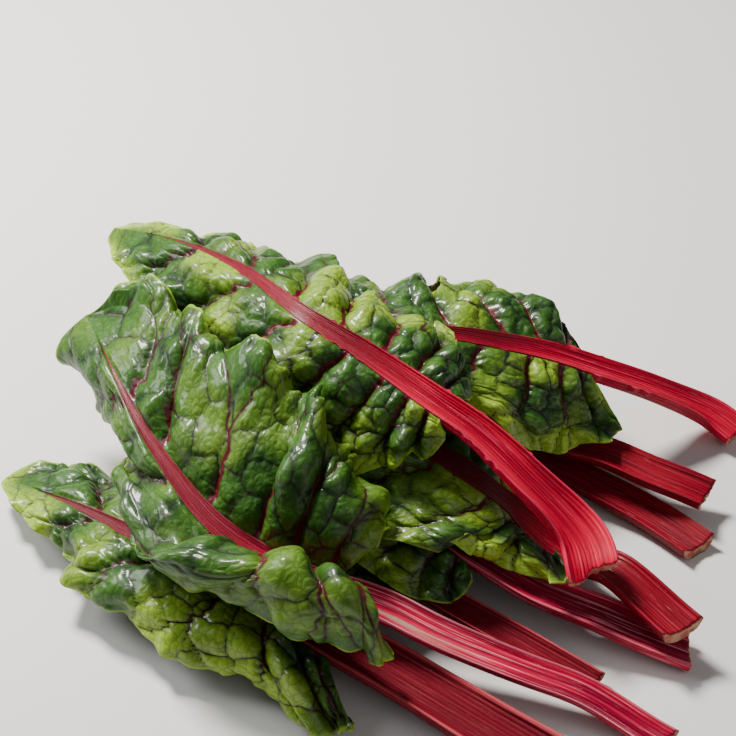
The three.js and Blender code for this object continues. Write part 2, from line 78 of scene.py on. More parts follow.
# %% [markdown]
# ## The leaves as numbers
# A leaf is a row of numbers, a route, which its stalk and midrib follow from the cut end to the tip, and
# two half blades. Sizes are in millimetres. `stalk` is half the width at the cut end and where the blade
# begins. `width` is how far a half reaches from the midrib, `lobe` how far its base hangs back along the
# stalk, `base` the width of its lowest edge and `notch` a gap in its margin. A `bend` row is a place on
# the blade, then five slopes in degrees from the midrib to the margin, so a half can arch, droop or roll
# over. The last seven numbers are for what the model leaves out: half the width of a side vein, size and
# height of the cells between veins, how yellow the young patches are, slant of the cut, finish of the
# stalk, and rows and columns of a half blade.

# %% Leaf table
COLUMNS = ("name", "stalk", "blade_from", "veins", "rows_per_vein", "cols", "seed", "pucker", "ruffle",
           "vein_width", "cell", "relief", "pale", "slant", "look", "grid")
NUMBERS = [
    ("leaf_1", (11, 10), 0.34, 6, 2, 5, 8, 4, 5, 0.7, 14, 1.5, 0.5, 1.5, "deep", (160, 56)),
    ("leaf_2", (16, 14), 0.4, 6, 4, 7, 1, 7, 7, 0.85, 16, 2.3, 0.7, -4.0, "calm", (230, 70)),
    ("leaf_3", (8.5, 8), 0.4, 6, 2, 5, 6, 3, 4, 0.7, 14, 1.5, 0.8, 2.0, "calm", (160, 56)),
    ("leaf_4", (12, 10), 0.4, 6, 2, 5, 7, 3, 4, 0.7, 14, 1.5, 0.5, -3.0, "pink", (160, 56)),
    ("leaf_5", (11, 10), 0.36, 6, 2, 5, 9, 4, 5, 0.7, 17, 2.6, 1.0, 1.5, "deep", (160, 56)),
    ("leaf_6", (12, 11), 0.24, 7, 2, 5, 5, 6, 8, 0.7, 14, 2.5, 0.9, 2.5, "deep", (160, 56)),
    ("leaf_7", (11, 10), 0.32, 6, 4, 7, 4, 7, 7, 0.75, 14, 2.4, 1.2, 1.5, "bright", (190, 80)),
    ("leaf_8", (14, 9.5), 0.3, 7, 4, 7, 3, 7, 7, 0.8, 14, 2.3, 1.1, 1.5, "bright", (230, 76)),
    ("leaf_9", (8.5, 9.8), 0.425, 6, 4, 8, 2, 7, 7, 0.95, 20, 2.3, 0.35, 3.0, "pink", (250, 92)),
]
SHAPES = [
    dict(route=[(239, -9, 8), (205, -5, 8), (173, -8, 12), (148, -11, 14), (110, -16, 16), (70, -20, 16),
                (21, -25, 16), (-27, -33, 15), (-67, -42, 12), (-100, -53, 7)],
         near=dict(width=56, bend=[(0, 0, -5, -10, -10, -10), (1, 0, -5, -10, -10, -10)]),
         far=dict(width=66, bend=[(0, 0, -5, -10, -10, -10), (1, 0, -5, -10, -10, -10)])),
    dict(route=[(288, -180, 11), (229, -182, 11), (162, -188, 19), (111, -197, 28), (46, -207, 34),
                (7, -210, 33), (-44, -211, 26), (-95, -213, 14)],
         near=dict(width=40, lobe=70, base=24,
                   bend=[(0, -5, -25, -35, -15, 25), (0.06, -5, -25, -35, -15, 25),
                         (0.14, 10, 5, -30, -60, -90), (0.6, 15, 5, -25, -60, -90),
                         (1, 0, -5, -10, -15, -20)]),
         far=dict(width=64,
                  bend=[(0, -15, -25, -20, -10, 0), (0.5, -15, -20, -15, -10, 0),
                        (1, 0, -5, -5, -10, -10)])),
    dict(route=[(244, -124, 6), (201, -129, 13), (158, -134, 19), (135, -136, 24), (107, -135, 28),
                (71, -133, 30), (30, -127, 30), (-9, -121, 26)],
         near=dict(width=26,
                   bend=[(0, -35, -45, -50, -30, -20), (0.5, -25, -35, -30, -20, -10),
                         (1, 0, -10, -10, -10, -10)]),
         far=dict(width=38, bend=[(0, 0, 0, 0, 0, 0), (0.5, 0, 0, 0, 0, 0), (1, 0, -20, -20, -20, -20)])),
    dict(route=[(272, -76, 9), (246, -85, 14), (226, -92, 19), (195, -104, 27), (173, -109, 34),
                (149, -112, 40), (122, -111, 44), (86, -108, 46), (50, -107, 46), (12, -105, 43),
                (-23, -104, 38)],
         near=dict(width=42,
                   bend=[(0, -20, -40, -50, -40, -30), (0.5, -20, -40, -50, -50, -40),
                         (1, 0, -10, -10, -10, -10)]),
         far=dict(width=52,
                  bend=[(0, 0, -10, -30, -40, -50), (0.5, 0, -10, -30, -40, -50),
                        (1, 0, -20, -20, -20, -20)])),
    dict(route=[(227, 19, 8), (194, 10, 15), (165, 4, 22), (143, -6, 30), (114, -15, 40), (77, -23, 48),
                (38, -28, 53), (-2, -33, 54), (-39, -35, 50), (-78, -37, 42)],
         near=dict(width=46,
                   bend=[(0, 0, -20, -30, -40, -50), (0.5, 0, -20, -30, -40, -50),
                         (1, 0, -10, -10, -10, -10)]),
         far=dict(width=66,
                  bend=[(0, 0, -10, -20, -50, -60), (0.5, 0, -10, -20, -40, -50),
                        (1, 0, -20, -20, -20, -20)])),
    dict(route=[(268, -80, 9), (241, -75, 10), (213, -71, 12), (186, -69, 20), (162, -74, 36),
                (138, -89, 64), (102, -94, 74), (63, -96, 78), (27, -96, 78), (-11, -93, 72),
                (-50, -90, 62)],
         near=dict(width=50, lobe=20,
                   bend=[(0, -20, -35, -45, -50, -50), (0.5, -20, -40, -50, -60, -60),
                         (1, 0, -20, -20, -20, -20)]),
         far=dict(width=50,
                  bend=[(0, 10, -10, -30, -50, -60), (0.5, 10, -10, -30, -50, -50),
                        (1, 0, -20, -20, -20, -20)])),
    dict(route=[(213, 82, 9), (191, 79, 18), (167, 57, 38), (143, 31, 58), (123, 9, 74), (104, -10, 84),
                (90, -23, 90), (74, -36, 94), (59, -42, 96), (44, -45, 96), (21, -44, 92), (-3, -41, 86),
                (-33, -37, 76), (-63, -35, 64)],
         near=dict(width=62, lobe=32,
                   bend=[(0, -30, -50, -55, -50, -40), (0.4, -25, -45, -60, -60, -60),
                         (1, 0, -10, -20, -20, -20)]),
         far=dict(width=70, lobe=-14,
                  bend=[(0, 30, 15, -20, -50, -60), (0.5, 15, 0, -35, -60, -60),
                        (1, 0, -20, -20, -20, -20)])),
    dict(route=[(220, -94, 30), (206, -82, 46), (191, -79, 60), (166, -82, 78), (138, -83, 92),
                (112, -88, 103), (87, -90, 110), (65, -91, 115), (46, -92, 118), (26, -91, 119),
                (2, -85, 117), (-28, -76, 112), (-65, -69, 104), (-104, -66, 94), (-144, -65, 80)],
         near=dict(width=62,
                   bend=[(0, -30, -60, -80, -90, -90), (0.25, -30, -55, -70, -80, -80),
                         (0.5, -20, -40, -50, -50, -50), (0.8, -15, -30, -40, -40, -40),
                         (1, 0, -20, -20, -20, -20)]),
         far=dict(width=66,
                  bend=[(0, 8, -12, -45, -65, -75), (0.3, 6, -18, -50, -68, -75),
                        (0.7, 0, -20, -50, -62, -62), (1, 5, -10, -20, -20, -20)])),
    dict(route=[(291, -133, 6), (255, -137, 9), (217, -148, 15), (173, -161, 24), (142, -169, 31),
                (109, -183, 40), (72, -192, 50), (41, -192, 58), (6, -183, 66), (-26, -171, 72),
                (-64, -152, 77), (-105, -129, 74)],
         near=dict(width=84, lobe=42, full=0.5, base=30, notch=[(0.1, -0.3, 0.1), (0.66, 0.6, 0.2)],
                   bend=[(0, 74, 82, 20, -75, -100), (0.08, 76, 88, 25, -75, -100),
                         (0.3, 78, 88, 25, -75, -100), (0.42, 72, 60, 0, -75, -100),
                         (0.53, 0, -15, -55, -90, -110), (0.62, -45, -65, -90, -105, -115),
                         (0.8, -50, -70, -90, -100, -110), (1, -10, -20, -30, -40, -50)]),
         far=dict(width=84, lobe=14, full=0.6, base=20, notch=[(0.62, 0.26, 0.16)],
                  bend=[(0, 66, 92, 30, -15, -50), (0.08, 68, 95, 35, -20, -55),
                        (0.3, 68, 92, 30, -15, -45), (0.45, 62, 50, 20, -12, -42),
                        (0.7, 45, 35, 18, -5, -35), (1, 20, 10, -10, -30, -30)])),
]
LEAVES = [dict(zip(COLUMNS, numbers), **shape) for numbers, shape in zip(NUMBERS, SHAPES)]
for leaf in LEAVES:
    leaf["rows"] = leaf["rows_per_vein"] * (leaf["veins"] + 1)
    leaf["joined"] = min(math.ceil(0.95 * leaf["rows"]), leaf["rows"] - 1)
    leaf["lift"] = {}
    leaf["soft_tip"] = False
print(len(LEAVES), "leaves,", sum(leaf["veins"] for leaf in LEAVES), "side veins a half")

# %% [markdown]
# ## The midrib line
# A smooth curve through the route points gives the line of the stalk and midrib. Every place on a leaf is
# found from it: how far along the line, how far to the side, and how far above it. The line carries three
# directions for that, which turn with it.

# %% Midrib line
SLIT = 0.6  # between the midrib and the first row of the blade
THINNEST_RIB = 0.8
SIDES = {1: "near", -1: "far"}


def smooth(a, b, x):
    """Rises softly from 0 at a to 1 at b."""
    t = np.clip((x - a) / (b - a), 0, 1)
    return t * t * (3 - 2 * t)


def through_points(a, b, c, d, t):
    """Place at share t between b and c, on a smooth curve that comes from a and goes on to d."""
    return 0.5 * (2 * b + (c - a) * t + (2 * a - 5 * b + 4 * c - d) * t ** 2
                  + (3 * b - a - 3 * c + d) * t ** 3)


def between_corners(here, ahead, aside, across, a, b):
    """Value at shares a and b of a square, from the values at its four corners."""
    return here * (1 - a) * (1 - b) + ahead * a * (1 - b) + aside * (1 - a) * b + across * a * b


def curve_points(route, u):
    """Points of a smooth curve through the route, at shares u of it."""
    points = np.asarray(route, float)
    last = len(points) - 1
    u = np.clip(u, 0, 1) * last
    i = np.minimum(u.astype(int), last - 1)
    w = (u - i)[..., None]
    wide = np.vstack([2 * points[0] - points[1], points, 2 * points[-1] - points[-2]])
    return through_points(wide[i], wide[i + 1], wide[i + 2], wide[i + 3], w)


def measure_line(leaf, line):
    leaf["line"] = line
    leaf["at"] = np.concatenate([[0], np.cumsum(np.linalg.norm(np.diff(line, axis=0), axis=1))])
    leaf["length"] = leaf["at"][-1]
    leaf["start"] = leaf["blade_from"] * leaf["length"]
    leaf["blade_length"] = leaf["length"] - leaf["start"]


def line_point(leaf, x):
    return np.stack([np.interp(x, leaf["at"], leaf["line"][:, k]) for k in range(3)], -1)


def line_frame(leaf, x):
    """Point of the midrib at x, and its directions along, out to the near side, and up."""
    x = np.asarray(x, float)
    along = line_point(leaf, x + 5) - line_point(leaf, x - 5)
    along /= np.linalg.norm(along, axis=-1, keepdims=True)
    up = np.array([0, 0, 1.0]) - along[..., 2:] * along
    up /= np.linalg.norm(up, axis=-1, keepdims=True)
    over = (x - np.clip(x, 0, leaf["length"]))[..., None]
    return line_point(leaf, x) + along * over, along, np.cross(up, along), up


def half_rib(leaf, x):
    """Half the width of the stalk, or of the midrib, at x."""
    base, neck = leaf["stalk"]
    bare = base + (neck - base) * smooth(0, leaf["start"], x)
    thin = neck * np.maximum(1 - (x - leaf["start"]) / leaf["blade_length"], 0) ** 1.35
    return np.where(x < leaf["start"], bare, np.maximum(thin, THINNEST_RIB))


for leaf in LEAVES:
    measure_line(leaf, curve_points(leaf["route"], np.linspace(0, 1, 161)))
    print(leaf["name"], "is", round(leaf["length"]), "mm long")

# %% [markdown]
# ## The bent blade
# A place on a half blade has two shares: `g` from the base to the tip and `s` from the midrib to the
# margin. Side veins follow lines of equal `g`. They leave the midrib and sweep towards the tip, and each
# bends through its five slopes in four smooth arcs. This is how a leaf that droops over its neighbours
# keeps its real width.

# %% Blade from two shares
def row_share(leaf, g, side):
    """Share of the blade's length where row g starts. The two halves' side veins leave by turns."""
    v = g * (0.64 + 0.36 * g)
    if side < 0:
        v = v + 0.45 / (leaf["veins"] + 1) * smooth(0.12, 0.3, g) * (1 - smooth(0.7, 0.86, g))
    return v


def row_slopes(bend, v):
    """The five slopes at v, between the bend rows of the table."""
    rows = np.asarray(bend, float)
    out = [np.full_like(v, rows[0, k]) for k in range(1, 6)]
    for i in range(len(rows) - 1):
        w = smooth(rows[i, 0], rows[i + 1, 0], v)
        out = [o + w * (rows[i + 1, k + 1] - rows[i, k + 1]) for k, o in enumerate(out)]
    return [np.radians(o) for o in out]


def flat_place(leaf, g, s, side):
    """Place on the leaf if it were pressed flat: along it, the row's root and its run to the margin."""
    half = leaf[SIDES[side]]
    lobe = half.get("lobe", 8)
    v = row_share(leaf, g, side)
    turn = np.pi * v
    edge = leaf["start"] - lobe + (leaf["blade_length"] + lobe) * (1 - np.cos(turn)) / 2
    run = half["width"] * np.maximum(np.sin(turn), 0) ** half.get("full", 0.62) * (1 + 0.28 * np.cos(turn))
    for where, deep, wide in half.get("notch", []):
        run = run * (1 - deep * np.exp(-((v - where) / wide) ** 2))
    run = run + half.get("base", 5) * np.maximum(1 - g, 0) ** 12
    root = leaf["start"] + leaf["blade_length"] * (0.3 * v + 0.7 * v ** 2.2)
    row = g * leaf["rows"]
    apart = row < leaf["joined"] - 1e-6
    if leaf["soft_tip"]:
        apart = 1 - smooth(leaf["joined"] - 1, leaf["joined"], row)
    gap = (half_rib(leaf, root) + SLIT) * apart
    x = root + np.clip(edge - root, -1.2 * run, 1.2 * run) * s ** 1.3
    return x, v, gap, run


def bent_place(leaf, g, s, side):
    x, v, gap, run = flat_place(leaf, g, s, side)
    p, along, out, up = line_frame(leaf, x)
    slope = row_slopes(leaf[SIDES[side]]["bend"], v)
    across = gap + 0 * s
    rise = 0 * s
    for k in range(4):
        w = np.clip(s * 4 - k, 0, 1)
        turn = (slope[k + 1] - slope[k]) * w
        turn = np.where(np.abs(turn) < 1e-3, 1e-3, turn)
        part = w * run / 4 / turn
        across = across + part * (np.sin(slope[k] + turn) - np.sin(slope[k]))
        rise = rise + part * (np.cos(slope[k]) - np.cos(slope[k] + turn))
    return p + side * out * across[..., None] + up * rise[..., None]


# %% [markdown]
# ## Puckers
# A chard blade grows faster than its veins, so it swells between them and its margin waves. The big
# swells between side veins are in the model already. They are repeated here so that both agree.

# %% Puckers between the side veins
def crumple(leaf, g, s, side):
    f = g * (leaf["veins"] + 1)
    seed = leaf["seed"] * 1.7 + (5 if side < 0 else 0)
    strength = 0.75 + 0.35 * np.sin(2.3 * f + seed)
    pucker = leaf["pucker"] * strength * (np.abs(np.sin(np.pi * f)) ** 0.8 - 0.35)
    pucker = pucker * np.maximum(np.sin(np.pi * np.clip(s, 0, 1) ** 0.8), 0) ** 0.7
    pucker = pucker * (1 + 0.5 * np.sin(2 * np.pi * (2.1 * s + 0.3 * np.sin(1.9 * f + seed))))
    wave = np.sin(np.pi * f + 1.5 * np.sin(1.7 * f + seed)) + 0.6 * np.sin(2 * np.pi * f + seed)
    fade = np.clip(np.sin(np.pi * g) * 2, 0, 1) * smooth(0, 0.16, g)
    return (pucker + leaf["ruffle"] * wave * s * s) * fade


def lift_at(leaf, g, s, side):
    """How far the leaf is pushed up by the leaves below, between the corners of its own grid."""
    grid = leaf["lift"].get(side)
    if grid is None:
        return 0 * s
    a = np.clip(g, 0, 1) * leaf["rows"]
    b = np.clip(s, 0, 1) * leaf["cols"]
    i = np.minimum(a.astype(int), leaf["rows"] - 1)
    j = np.minimum(b.astype(int), leaf["cols"] - 1)
    return between_corners(grid[i, j], grid[i + 1, j], grid[i, j + 1], grid[i + 1, j + 1], a - i, b - j)


def blade_place(leaf, g, s, side, extra=0.0):
    """Point of the blade. extra is added to the puckers, in millimetres above the surface."""
    e = 0.004
    g0, g1, s0, s1 = np.maximum(g - e, 0), np.minimum(g + e, 1), np.maximum(s - e, 0), np.minimum(s + e, 1)
    along = (bent_place(leaf, g1, s, side) - bent_place(leaf, g0, s, side)) * side
    out = bent_place(leaf, g, s1, side) - bent_place(leaf, g, s0, side)
    normal = np.cross(along, out)
    normal /= np.linalg.norm(normal, axis=-1, keepdims=True) + 1e-9
    p = bent_place(leaf, g, s, side) + normal * (crumple(leaf, g, s, side) + extra)[..., None]
    p[..., 2] += lift_at(leaf, g, s, side)
    return p


def grid_shares(rows, cols):
    return np.meshgrid(np.linspace(0, 1, rows + 1), np.linspace(0, 1, cols + 1), indexing="ij")


def blade_grid(leaf, side, rows, cols):
    return blade_place(leaf, *grid_shares(rows, cols), side)


# %% [markdown]
# ## Laying the heap
# The leaves are laid down one after another. A height map of small square cells remembers how high the
# heap has grown, and each new leaf is lifted just enough to clear it. The lift is spread and smoothed, so a
# leaf sags over what lies below instead of stepping over it.

# %% Height map
MAP_CORNER = -360.0
CELL = 2.5
BARE_TABLE = -50.0
heights = np.full((304, 248), BARE_TABLE)


def cells(x, y):
    """Row and column of the map's cell under a place."""
    i = np.clip(((x - MAP_CORNER) / CELL).astype(int), 0, heights.shape[0] - 1)
    j = np.clip(((y - MAP_CORNER) / CELL).astype(int), 0, heights.shape[1] - 1)
    return i, j


def note_sheet(grid):
    """Notes the heights of a sheet of points, and of places between them."""
    a, b = (m[..., None] for m in grid_shares(8, 8))
    q = between_corners(grid[:-1, :-1, None, None], grid[1:, :-1, None, None],
                        grid[:-1, 1:, None, None], grid[1:, 1:, None, None], a, b)
    np.maximum.at(heights, cells(q[..., 0].ravel(), q[..., 1].ravel()), q[..., 2].ravel())


def top_at(x, y):
    """Highest point of the heap in a place's cell and the eight around it."""
    i, j = cells(x, y)
    best = heights[i, j]
    for di in (-1, 0, 1):
        for dj in (-1, 0, 1):
            near = heights[np.clip(i + di, 0, heights.shape[0] - 1), np.clip(j + dj, 0, heights.shape[1] - 1)]
            best = np.maximum(best, near)
    return best


# %% Lay the leaves down
LEAF_CLEAR = 3.5  # height of a new leaf above the heap
TABLE_CLEAR = 0.3
# Outline of a stalk, in half widths: the five points of the hollow upper side, then the belly.
STALK_SECTION = np.array([(1, 0.1), (0.6, -0.12), (0, -0.22), (-0.6, -0.12), (-1, 0.1),
                          (-0.9, -0.4), (-0.5, -0.75), (0, -0.85), (0.5, -0.75), (0.9, -0.4)])


def spread(values):
    return np.convolve(np.pad(values, 2, mode="edge"), [0.15, 0.2, 0.3, 0.2, 0.15], "valid")


def lift_line(leaf):
    """Lifts the midrib line over the heap."""
    p, along, out, up = line_frame(leaf, leaf["at"])
    rib = half_rib(leaf, leaf["at"])
    need = np.zeros(len(rib))
    for a in (-1, -0.5, 0, 0.5, 1):
        q = p + out * (a * rib)[:, None]
        belly = q[:, 2] - (0.85 - 0.3 * a * a) * rib
        need = np.maximum(need, top_at(q[:, 0], q[:, 1]) + LEAF_CLEAR - belly)
    lift = need
    for _ in range(60):
        lift = np.maximum(spread(lift), need)
    for _ in range(6):
        lift = spread(lift)
    line = leaf["line"].copy()
    line[:, 2] += lift
    measure_line(leaf, line)


def lift_half(leaf, side):
    """Lifts the corners of a half blade's own grid over the heap, where places between them need it."""
    fine = 4
    rows, cols = leaf["rows"], leaf["cols"]
    base = blade_grid(leaf, side, rows * fine, cols * fine)
    g, s = grid_shares(rows * fine, cols * fine)
    lift = np.zeros((rows + 1, cols + 1))
    for _ in range(3):
        leaf["lift"][side] = lift
        z = base[..., 2] + lift_at(leaf, g, s, side)
        heap = top_at(base[..., 0], base[..., 1])
        need = np.maximum(np.maximum(heap + LEAF_CLEAR, TABLE_CLEAR) - z, 0)
        want = lift.copy()
        for i in range(rows + 1):
            for j in range(cols + 1):
                a, b = i * fine, j * fine
                want[i, j] += need[max(a - 3, 0):a + 4, max(b - 3, 0):b + 4].max()
        lift = want
        for _ in range(4):
            pad = np.pad(lift, 1, mode="edge")
            mean = (pad[:-2, 1:-1] + pad[2:, 1:-1] + pad[1:-1, :-2] + pad[1:-1, 2:] + 2 * lift) / 6
            lift = np.maximum(0.97 * mean, want)
        lift = lift * smooth(0, 0.16, np.linspace(0, 1, cols + 1))[None, :]
        lift[-1] = 0
    leaf["lift"][side] = lift


def section_rings(leaf, x, section):
    """Rings of points along the stalk."""
    p, along, out, up = line_frame(leaf, x)
    rib = half_rib(leaf, x)[:, None, None]
    q = p[:, None] + out[:, None] * section[None, :, :1] * rib + up[:, None] * section[None, :, 1:] * rib
    q[..., 2] = np.maximum(q[..., 2], 0)
    return q


for leaf in LEAVES:
    lift_line(leaf)
    for side in SIDES:
        lift_half(leaf, side)
    for side in SIDES:
        note_sheet(blade_grid(leaf, side, leaf["rows"], leaf["cols"]))
    note_sheet(section_rings(leaf, np.linspace(0, leaf["length"], 60), STALK_SECTION[:5]))
print("heap height", round(float(heights.max()), 1), "mm")

# %% [markdown]
# ## Small veins
# Between the side veins a net of small veins divides the blade into cells of 10 to 20 mm, and each cell
# swells like a cushion. Seeds are strewn between the side veins, and every point belongs to its nearest
# seed. The border between two seeds is where a small vein runs. The same distances shape the cushions here
# and colour the veins later, so relief and colour agree.

# %% Soft noise on the leaf
NOISE_TABLE = np.random.default_rng(11).random((64, 64))


def soft_noise(x, y, seed=0):
    """Smooth random value from 0 to 1 with features about one unit wide."""
    x, y = x + 17.3 * seed, y + 9.7 * seed
    i, j = np.floor(x).astype(int), np.floor(y).astype(int)
    corners = [NOISE_TABLE[(i + p) % len(NOISE_TABLE), (j + q) % len(NOISE_TABLE)]
               for p, q in ((0, 0), (1, 0), (0, 1), (1, 1))]
    return between_corners(*corners, smooth(0, 1, x - i), smooth(0, 1, y - j))


# %% Distances to the veins
def flat_xy(leaf, g, s, side):
    """Place on the pressed leaf in two numbers, and the row's run."""
    x, _, gap, run = flat_place(leaf, g, s, side)
    return np.stack([x, gap + run * s], -1), run


def side_vein_distance(leaf, g, s, side):
    """Distance from the nearest side vein in millimetres, less the vein's own half width."""
    e = 0.003
    seed = leaf["seed"] + (0.5 if side < 0 else 0)
    g_low, g_high = np.maximum(g - e, 0), np.minimum(g + e, 1)
    step_g = (flat_xy(leaf, g_high, s, side)[0] - flat_xy(leaf, g_low, s, side)[0]) / (2 * e)
    step_s = (flat_xy(leaf, g, s + e, side)[0] - flat_xy(leaf, g, np.maximum(s - e, 0), side)[0]) / (2 * e)
    turn = np.abs(step_g[..., 0] * step_s[..., 1] - step_g[..., 1] * step_s[..., 0])
    spacing = turn / (np.linalg.norm(step_s, axis=-1) + 1e-6) / (leaf["veins"] + 1)
    wander = (0.2 * (soft_noise(s * 7, g * 9, seed) - 0.5)
              + 0.09 * (soft_noise(s * 21, g * 9, seed + 4) - 0.5))
    f = g * (leaf["veins"] + 1) + wander * smooth(0, 0.15, s)
    k = np.clip(np.round(f), 1, leaf["veins"])
    fork = 0.55 + 0.12 * np.sin(3.7 * k + seed)
    apart = 0.34 * np.maximum((s - fork) / (1 - fork), 0) ** 1.2
    off = np.abs(np.abs(f - k) - apart)
    wide = leaf["vein_width"] * (1.5 * (1 - s) ** 1.2 + 0.35)
    return off * np.minimum(spacing, 40) - wide


def net_seeds(leaf, side):
    """Seeds of the cells, in one or two tracks between each pair of side veins."""
    rng = np.random.default_rng(leaf["seed"] * 10 + side)
    seeds = []
    for k in range(leaf["veins"] + 1):
        (low, _), (_, run), (high, _) = (
            flat_xy(leaf, np.array((k + share) / (leaf["veins"] + 1)), np.array(0.5), side)
            for share in (0, 0.5, 1))
        run = float(run)
        across = float(np.linalg.norm(high - low))
        tracks = 2 if across > 1.5 * leaf["cell"] else 1
        count = max(2, round(run / leaf["cell"]))
        for j in range(count):
            for m in range(tracks):
                f = k + (m + 0.5) / tracks + rng.uniform(-0.13, 0.13) / tracks
                s = (j + 0.5 + 0.45 * (m - 0.5) * (tracks - 1) + rng.uniform(-0.28, 0.28)) / count
                seeds.append((f / (leaf["veins"] + 1), s))
    g, s = np.array(seeds).T
    return flat_xy(leaf, np.clip(g, 0.001, 0.999), np.clip(s, 0.02, 1.05), side)[0]


def net_distance(leaf, g, s, side):
    """Distance from the nearest small vein in millimetres."""
    points = flat_xy(leaf, g, s, side)[0].reshape(-1, 2)
    seed = leaf["seed"]
    points = points + 3.2 * np.stack([soft_noise(points[:, 0] / 5, points[:, 1] / 5, seed) - 0.5,
                                      soft_noise(points[:, 1] / 5, points[:, 0] / 5, seed + 3) - 0.5], -1)
    seeds = net_seeds(leaf, side)
    gaps = ((points[:, None] - seeds[None]) ** 2).sum(-1)
    first = gaps.argmin(1)
    best = gaps[np.arange(len(points)), first]
    apart = np.linalg.norm(seeds[first][:, None] - seeds[None], axis=-1)
    apart[np.arange(len(points)), first] = np.inf
    return ((gaps - best[:, None]) / (2 * np.maximum(apart, 1e-6))).clip(0).min(
        1, where=np.isfinite(apart), initial=50).reshape(np.shape(g))


print("cells in the net of each leaf:",
      [sum(len(net_seeds(leaf, side)) for side in SIDES) for leaf in LEAVES])

# %% [markdown]
# ## A blade
# Each half starts as a flat grid, whose two directions are the shares `g` and `s`. Its points are moved to
# their places on the bent, puckered blade. The two halves are joined, their shared tip is merged, and
# Solidify gives the sheet its thickness of 0.7 mm. The first column of each half runs into the midrib, so
# that blade and midrib are grown together.

# %% Helpers for modelling
def deselect_all():
    if bpy.context.object and bpy.context.object.mode != "OBJECT":
        bpy.ops.object.mode_set(mode="OBJECT")
    bpy.ops.object.select_all(action="DESELECT")


def vertex_places(piece):
    out = np.empty(len(piece.data.vertices) * 3, np.float32)
    piece.data.vertices.foreach_get("co", out)
    return out.reshape(-1, 3).astype(float)


def set_places(piece, places):
    piece.data.vertices.foreach_set("co", np.ascontiguousarray(places, np.float32).ravel())
    piece.data.update()


def set_values(piece, name, values):
    values = np.asarray(values, np.float32)
    kind, field = ("FLOAT_VECTOR", "vector") if values.ndim == 2 else ("FLOAT", "value")
    piece.data.attributes.new(name, kind, "POINT").data.foreach_set(field, values.ravel())


def edit_all(piece, *steps):
    """Runs edit-mode operators on the whole piece."""
    deselect_all()
    piece.select_set(True)
    bpy.context.view_layer.objects.active = piece
    bpy.ops.object.mode_set(mode="EDIT")
    bpy.ops.mesh.select_all(action="SELECT")
    for step in steps:
        step()
    bpy.ops.object.mode_set(mode="OBJECT")


def shade_smooth(piece):
    deselect_all()
    piece.select_set(True)
    bpy.ops.object.shade_smooth()


# %% Half a blade
def small_relief(leaf, g, s, side, side_gap, net_gap):
    """Cushions between the veins, grooves along them, and the frill of the margin."""
    x = flat_xy(leaf, g, s, side)[0]
    seed = leaf["seed"] + side
    near = np.minimum(net_gap, np.maximum(side_gap, 0) + 0.4)
    swell = 0.7 * (1 - np.exp(-(near / (0.4 * leaf["cell"])) ** 1.3)) + 0.3 * (1 - np.exp(-near / 1.3))
    swell = swell * (0.35 + 1.2 * soft_noise(x[..., 0] / 19, x[..., 1] / 19, seed))
    fade = smooth(0, 0.06, s) * smooth(0, 0.05, g) * smooth(0, 0.06, 1 - g)
    fine = soft_noise(x[..., 0] / 2.6, x[..., 1] / 2.6, seed) - 0.5
    fold = soft_noise(x[..., 0] / 11, x[..., 1] / 11, seed + 5) - 0.5
    crease = np.exp(-((soft_noise(x[..., 0] / 12, x[..., 1] / 8, seed + 3) - 0.5) / 0.07) ** 2)
    pleat = np.exp(-((soft_noise(x[..., 0] / 6, x[..., 1] / 7, seed + 6) - 0.5) / 0.1) ** 2)
    frill = 7.5 * (soft_noise(x[..., 0] / 8, x[..., 1] / 14, seed + 8) - 0.5) * s ** 3.5
    groove = 0.8 * np.exp(-(np.maximum(side_gap, 0) / 1.8) ** 2)
    small = (0.25 * fine + 1.3 * fold - 0.75 * crease - 0.3 * pleat) * (14 / leaf["cell"]) ** 1.5
    return (leaf["relief"] * (swell - 0.45) + small + frill - groove) * fade


def half_blade(leaf, side, rows, cols):
    """A half blade as a grid of rows and columns, with one more column that is tucked into the midrib."""
    deselect_all()
    bpy.ops.mesh.primitive_grid_add(x_subdivisions=rows, y_subdivisions=cols + 1, size=1)
    piece = bpy.context.object
    place = vertex_places(piece)
    g = np.clip(np.round((place[:, 0] + 0.5) * rows) / rows, 0, 1)
    j = np.round((place[:, 1] + 0.5) * (cols + 1)) - 1
    s = np.clip(j / cols, 0, 1)
    side_gap = side_vein_distance(leaf, g, s, side)
    net_gap = net_distance(leaf, g, s, side)
    extra = small_relief(leaf, g, s, side, side_gap, net_gap)
    p = blade_place(leaf, g, s, side, extra)
    x, _, gap, run = flat_place(leaf, g, s, side)
    tucked = (j < 0) & (g * leaf["rows"] < leaf["joined"])
    out = line_frame(leaf, x)[2]
    p[tucked] -= (side * out * np.clip(gap - 0.3, 0, 1.0)[:, None])[tucked]
    p[tucked, 2] -= 0.25
    set_places(piece, (p + HEAP_SHIFT) / 1000)
    flat = np.stack([x, side * (gap + run * s), np.full(len(g), leaf["seed"] * 300.0)], -1) / 1000
    set_values(piece, "flat", flat)
    set_values(piece, "side_vein", side_gap)
    set_values(piece, "net_vein", net_gap)
    set_values(piece, "margin", run * (1 - s))
    patch = soft_noise(x / 26, (gap + run * s) / 26, leaf["seed"] + side)
    edge = np.exp(-(run * (1 - s) / 14) ** 1.2)
    young = smooth(0.45, 0.85, patch) * 0.6 + edge * smooth(0.25, 0.7, patch)
    set_values(piece, "pale", leaf["pale"] * young)
    if side < 0:
        edit_all(piece, bpy.ops.mesh.flip_normals)
    return piece


# %% Whole blades
BLADE_THICKNESS = 0.0007
SAME_POINT = 0.00002


